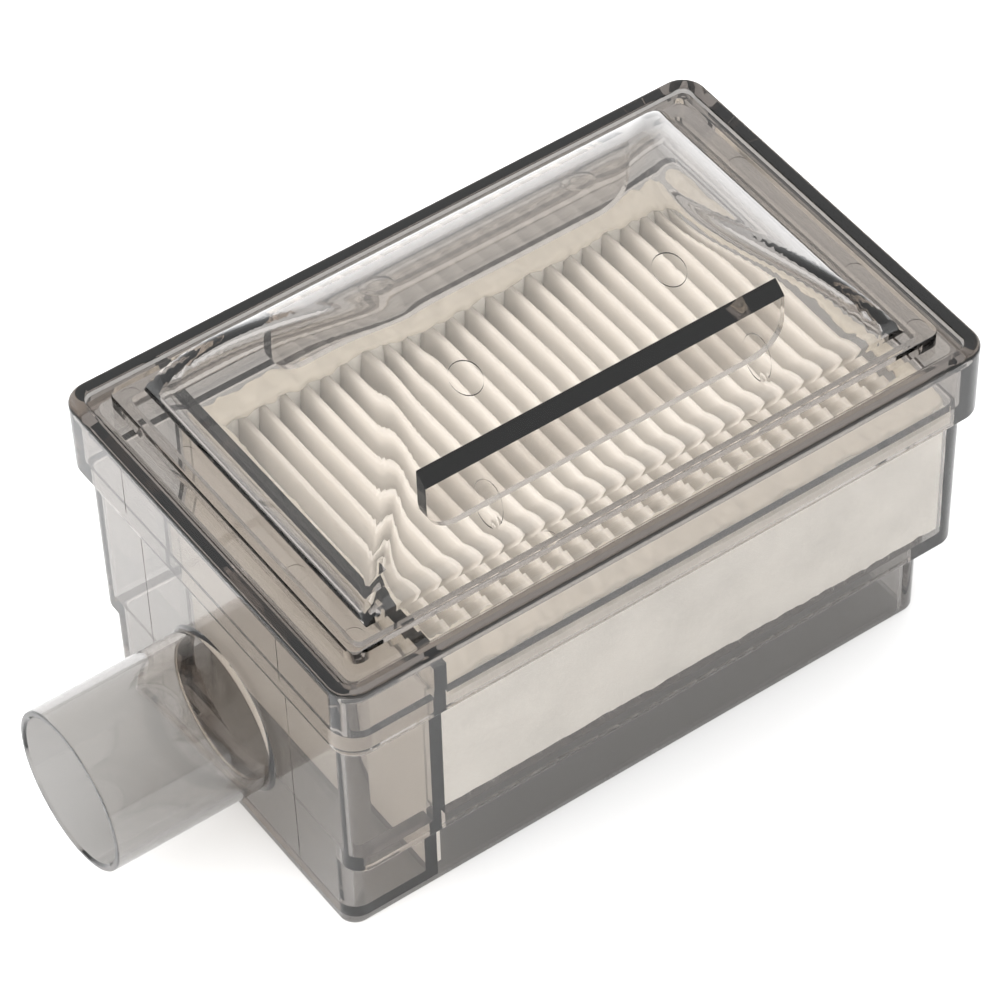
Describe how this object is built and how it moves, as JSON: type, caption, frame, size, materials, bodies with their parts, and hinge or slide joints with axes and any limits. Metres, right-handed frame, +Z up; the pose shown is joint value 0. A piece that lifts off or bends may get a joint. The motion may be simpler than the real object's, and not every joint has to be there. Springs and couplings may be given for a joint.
{
  "type": "oxygen concentrator intake filter",
  "caption": "Box-shaped pleated air filter in a stepped clear case, with a vaulted welded lid, an open inlet underneath and a round outlet spout on one end.",
  "frame": {"origin": "under the middle of the overall box of case and spout, on the plane that the base stands on", "axes": "+Z up through the dome, +X along the case away from the outlet spout, +Y across it"},
  "size_m": [0.1168, 0.0616, 0.0666],
  "materials": {
    "smoke_clear_plastic": "glossy, see-through, pale smoke grey",
    "filter_paper": "matt cream filter paper",
    "felt": "off-white needled felt",
    "white_card": "smooth white card",
    "hot_melt_glue": "milky set glue"
  },
  "bodies": {
    "root": {"case": "smoke_clear_plastic", "lid": "smoke_clear_plastic", "filter_paper": "filter_paper", "front_felt_strip": "felt", "rear_felt_strip": "felt", "end_card": "white_card", "sealing_glue": "hot_melt_glue"}
  },
  "joints": []
}
